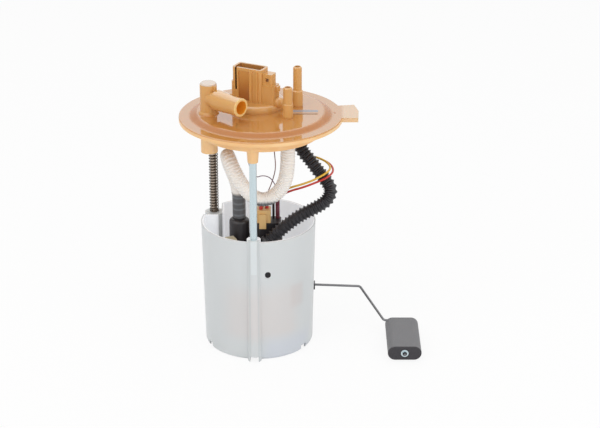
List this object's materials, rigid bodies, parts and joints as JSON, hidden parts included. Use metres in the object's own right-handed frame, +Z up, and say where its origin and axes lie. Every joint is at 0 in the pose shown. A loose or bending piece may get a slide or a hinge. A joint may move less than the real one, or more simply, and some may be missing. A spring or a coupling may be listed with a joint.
{
  "type": "fuel pump module",
  "caption": "In-tank fuel pump module: round tank flange with spout, nipples and socket on two guide rods over a white reservoir with pump, hoses, leads and a float arm level sender.",
  "frame": {"origin": "on the axis of the reservoir cup, in the plane that its feet stand on", "axes": "+Z up along the guide rods to the tank flange, +X towards the float's side, +Y away from the front guide rod"},
  "size_m": [0.1946, 0.13, 0.2324],
  "materials": {
    "white_plastic": "translucent white moulding",
    "black_plastic": "satin black moulding",
    "beige_rubber": "matt beige rubber",
    "casing_steel": "zinc plated steel tube",
    "grey_plastic": "dark grey moulding",
    "magnet": "sintered ferrite",
    "carbon": "pressed carbon",
    "brass": "bright brass",
    "spring_steel": "dark bronze grey spring wire",
    "strainer_mesh": "fine woven mesh",
    "foot_rubber": "dark blue rubber",
    "tan_plastic": "tan moulding",
    "maroon_sleeve": "maroon sleeve",
    "sender_plastic": "black moulding",
    "card_ceramic": "ceramic card with printed track",
    "white_hose": "translucent corrugated hose",
    "black_hose": "black corrugated hose",
    "yellow_lead": "yellow insulation",
    "red_lead": "red insulation",
    "brown_lead": "brown insulation",
    "violet_lead": "violet grey insulation",
    "amber_plastic": "glossy amber acetal moulding",
    "label_film": "bare blue grey film",
    "bright_zinc": "bright bluish zinc plate",
    "winding_core": "laminated core with enamelled wire",
    "copper": "bare copper bars",
    "arm_steel": "drawn steel wire",
    "float_foam": "closed cell dark grey foam"
  },
  "bodies": {
    "reservoir_unit": {"reservoir": "white_plastic", "pump_holder": "black_plastic", "holder_cover": "black_plastic", "rubber_bumpers": "beige_rubber", "pump_casing": "casing_steel", "inlet_cover": "grey_plastic", "chamber_plate": "grey_plastic", "end_bell": "grey_plastic", "field_magnets": "magnet", "brushes": "carbon", "brush_guides": "brass", "check_valve_seat": "brass", "check_valve_spring": "spring_steel", "inlet_strainer": "strainer_mesh", "foot_valve": "foot_rubber", "jet_pump": "grey_plastic", "pump_connector": "tan_plastic", "lead_sleeve": "maroon_sleeve", "sender_body": "sender_plastic", "resistor_card": "card_ceramic", "white_hose": "white_hose", "black_hose": "black_hose", "yellow_lead": "yellow_lead", "red_lead": "red_lead", "brown_lead": "brown_lead", "violet_lead": "violet_lead"},
    "flange_unit": {"flange": "amber_plastic", "socket_terminals": "brass", "blank_label": "label_film", "front_guide_rod": "bright_zinc", "side_guide_rod": "bright_zinc", "rod_clip": "spring_steel", "pressure_spring": "spring_steel"},
    "pump_rotor": {"armature": "winding_core", "commutator": "copper", "pump_shaft": "bright_zinc", "impeller": "grey_plastic"},
    "valve_poppet": {"check_valve_poppet": "black_plastic"},
    "float_arm_unit": {"sender_hub": "sender_plastic", "wiper": "brass", "float_arm": "arm_steel", "push_nut": "bright_zinc"},
    "float_unit": {"float": "float_foam"}
  },
  "joints": [
    {"name": "flange_slide", "type": "slide", "parent": "reservoir_unit", "child": "flange_unit", "axis": [0, 0, 1], "range_m": [-0.03, 0], "stiffness_N_per_m": 300, "springref_m": 0.02, "deforming": ["pressure_spring", "white_hose", "black_hose", "yellow_lead", "red_lead", "brown_lead", "violet_lead"]},
    {"name": "float_arm_pivot", "type": "hinge", "parent": "reservoir_unit", "child": "float_arm_unit", "pos_m": [0.0315, 0.038, 0.028], "axis": [0, -1, 0], "range_deg": [0, 62]},
    {"name": "float_swivel", "type": "hinge", "parent": "float_arm_unit", "child": "float_unit", "pos_m": [0.1186, -0.02, 0.0073], "axis": [0, 1, 0], "continuous": true},
    {"name": "pump_spin", "type": "hinge", "parent": "reservoir_unit", "child": "pump_rotor", "pos_m": [-0.002, 0, 0.051], "axis": [0, 0, 1], "continuous": true},
    {"name": "check_valve_lift", "type": "slide", "parent": "reservoir_unit", "child": "valve_poppet", "axis": [0, 0, 1], "range_m": [0, 0.0015], "stiffness_N_per_m": 60, "springref_m": -0.002, "deforming": ["check_valve_spring"]}
  ]
}
